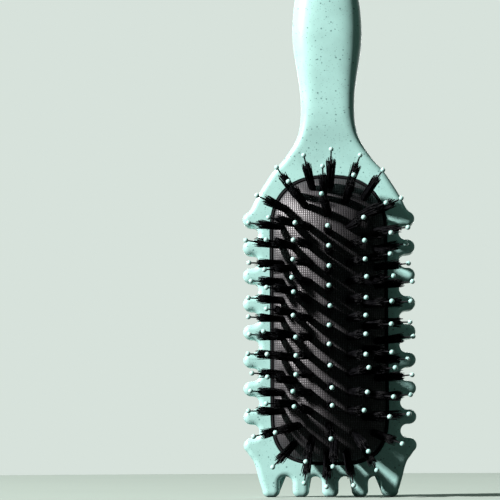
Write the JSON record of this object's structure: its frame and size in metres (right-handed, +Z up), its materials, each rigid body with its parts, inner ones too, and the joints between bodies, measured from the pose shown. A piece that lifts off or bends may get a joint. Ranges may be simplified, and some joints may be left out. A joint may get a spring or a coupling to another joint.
{
  "type": "styling brush",
  "caption": "Long cushioned styling brush: black bristle tufts with ball-tipped pins on a domed oval cushion, a body edged with blunt teeth, and a rounded handle.",
  "frame": {"origin": "middle of the standing face, on the flat tip of the middle end tooth", "axes": "+Z up the brush towards the end of the handle, -Y out of the bristle side, +X across the head, to the right as the bristle side is looked at"},
  "size_m": [0.074, 0.053, 0.24],
  "materials": {
    "mint_plastic": "satin mint plastic with fine dark specks",
    "black_plastic": "smooth black plastic",
    "cushion_cloth": "black woven cloth over a rubber pad",
    "black_bristle": "black nylon bristle, the pins tipped with mint balls"
  },
  "bodies": {
    "body": {"front_frame": "mint_plastic", "back_shell": "mint_plastic", "cushion_bezel": "black_plastic", "cushion_skirt": "cushion_cloth", "cushion_tray": "black_plastic"},
    "tuft_field": {"outer_tufts_top": "black_bristle", "outer_tufts_end": "black_bristle", "outer_tufts_left_upper": "black_bristle", "outer_tufts_left_lower": "black_bristle", "outer_tufts_right_upper": "black_bristle", "outer_tufts_right_lower": "black_bristle", "inner_tufts_top": "black_bristle", "inner_tufts_end": "black_bristle", "inner_tufts_left_upper": "black_bristle", "inner_tufts_left_lower": "black_bristle", "inner_tufts_right_upper": "black_bristle", "inner_tufts_right_lower": "black_bristle", "centre_tufts_left_upper": "black_bristle", "centre_tufts_left_lower": "black_bristle", "centre_tufts_middle_upper": "black_bristle", "centre_tufts_middle_lower": "black_bristle", "centre_tufts_right_upper": "black_bristle", "centre_tufts_right_lower": "black_bristle"}
  },
  "joints": [
    {"name": "cushion_press", "type": "slide", "parent": "body", "child": "tuft_field", "axis": [0, 1, 0], "range_m": [0, 0.003], "stiffness_N_per_m": 1200, "deforming": ["cushion_skirt"]}
  ]
}
